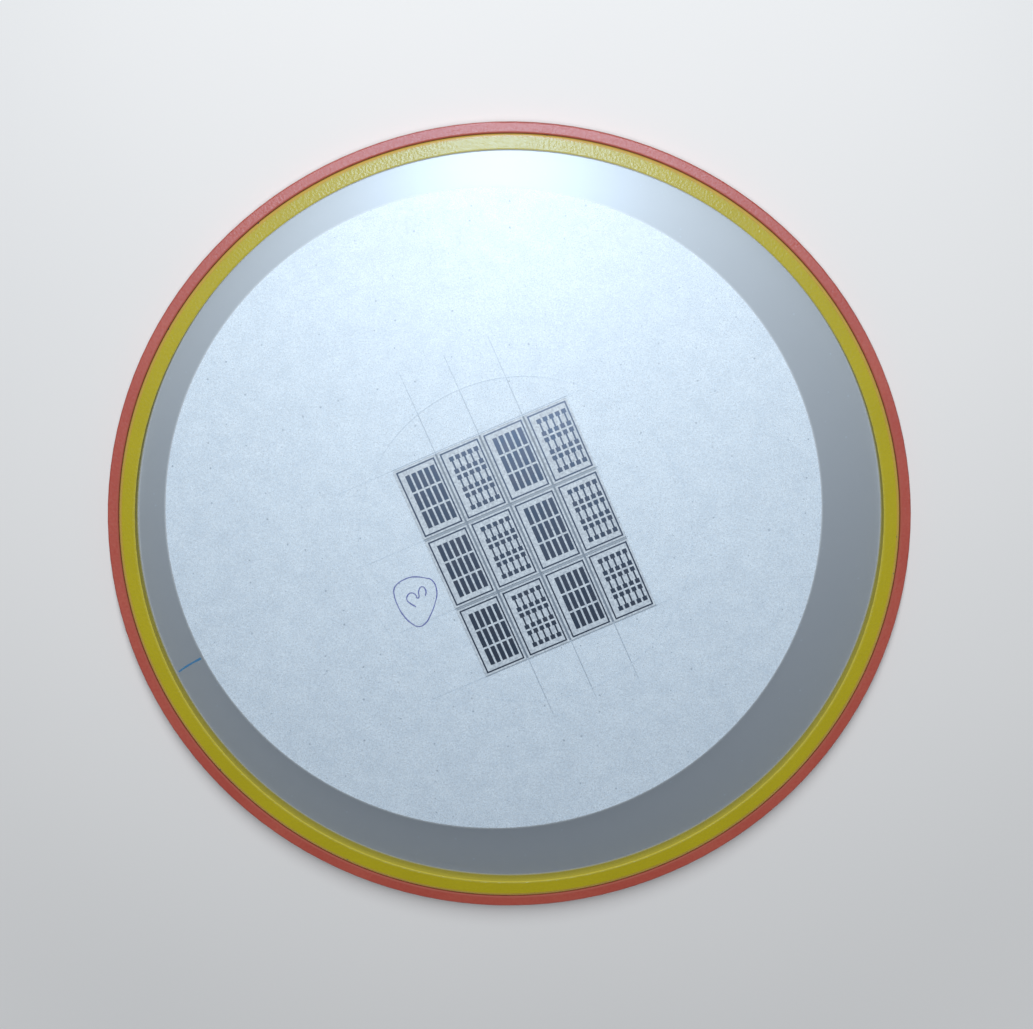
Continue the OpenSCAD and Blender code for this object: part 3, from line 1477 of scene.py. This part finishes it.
@dataclass
class Studio:
    """Pale floor, one overhead softbox, a dim ceiling and pale walls out of reach of
    the light. Its fields are in metres, and wall_top is a height as a share of 1."""

    floor_size: float = 40.0
    floor_at: float = -0.0002
    box_size: Point = (0.1, 1.0)
    box_at: Triple = (-0.004, 0.499, 0.7)
    box_radiance: float = 27.7
    surround: float = 0.1
    walls: str = "#D9DBDE"
    wall_top: Point = (0.2, 0.5)

    def build(self) -> None:
        """Makes the floor, the softbox and the world."""
        deselect()
        bpy.ops.mesh.primitive_plane_add(size=self.floor_size, location=(0, 0, self.floor_at))
        floor = settle(bpy.context.object, "studio_floor")
        dress(floor, StudioFloor("matte painted board").build())
        width, depth = self.box_size
        lamp = bpy.data.lights.new("softbox", "AREA")
        lamp.shape = "RECTANGLE"
        lamp.size, lamp.size_y = width, depth
        lamp.energy = self.box_radiance * math.pi * width * depth
        box = bpy.data.objects.new("softbox", lamp)
        box.location = self.box_at
        bpy.context.scene.collection.objects.link(box)
        self.surroundings()

    def surroundings(self) -> None:
        """Makes the world: even dim light, and walls that only show."""
        world = bpy.data.worlds.new("surround")
        world.use_nodes = True
        tree = world.node_tree
        tree.nodes.clear()
        direction = add(tree, "ShaderNodeTexCoord").outputs["Object"]
        height = add(tree, "ShaderNodeSeparateXYZ", {0: direction}).outputs["Z"]
        low = add(
            tree, "ShaderNodeMapRange",
            {"Value": height, "From Min": self.wall_top[1], "From Max": self.wall_top[0]},
            interpolation_type="SMOOTHSTEP",
        )
        wall = add(tree, "ShaderNodeMath", {0: low, 1: seen(tree)}, operation="MULTIPLY")
        tint = (self.surround, self.surround * 1.01, self.surround * 1.03, 1.0)
        colour = add(
            tree, "ShaderNodeMix", {0: wall, 6: tint, 7: linear(self.walls)}, data_type="RGBA"
        )
        glow = add(tree, "ShaderNodeBackground", {"Color": colour.outputs[2], "Strength": 1.0})
        out = add(tree, "ShaderNodeOutputWorld")
        tree.links.new(glow.outputs[0], out.inputs["Surface"])
        bpy.context.scene.world = world


@dataclass
class Viewpoint:
    """The camera, which looks down on the rings from slightly in front of their far side."""

    at: Triple = (-2.23, 125.43, 557.36)
    aim: Triple = (1.96, 5.12, 6.35)
    roll: float = 0.07
    lens: float = 66.34
    sensor: float = 36.0

    def build(self) -> None:
        """Makes the camera and lets the scene use it."""
        data = bpy.data.cameras.new("camera")
        data.lens = self.lens
        data.sensor_width = self.sensor
        camera = bpy.data.objects.new("camera", data)
        bpy.context.scene.collection.objects.link(camera)
        place, aim = Vector(self.at) * MM, Vector(self.aim) * MM
        back = (place - aim).normalized()
        right = Vector((0, 1, 0)).cross(back).normalized()
        up = back.cross(right)
        axes = Matrix((right, up, back)).transposed().to_4x4()
        camera.matrix_world = (
            Matrix.Translation(place) @ axes @ Matrix.Rotation(math.radians(self.roll), 4, "Z")
        )
        bpy.context.scene.camera = camera


def main() -> None:
    """Loads the frame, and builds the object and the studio."""
    logging.basicConfig(level=logging.INFO, format="%(name)s: %(message)s")
    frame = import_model()
    nodes = frame["nodes"]
    deselect()
    bpy.context.scene.view_settings.view_transform = "Standard"
    Viewpoint().build()
    for group in (GripRings(nodes), BackingDisc(nodes), DicedWafer(nodes)):
        for name in group.build():
            log.info("dressed %s", name)
    film = DicingFilm(WaferPlace()).build()
    log.info("made %s, %d faces", film.name, len(film.data.polygons))
    for mark in PenMarks().build():
        log.info("made %s", mark.name)
    Studio().build()


if __name__ == "__main__":
    main()
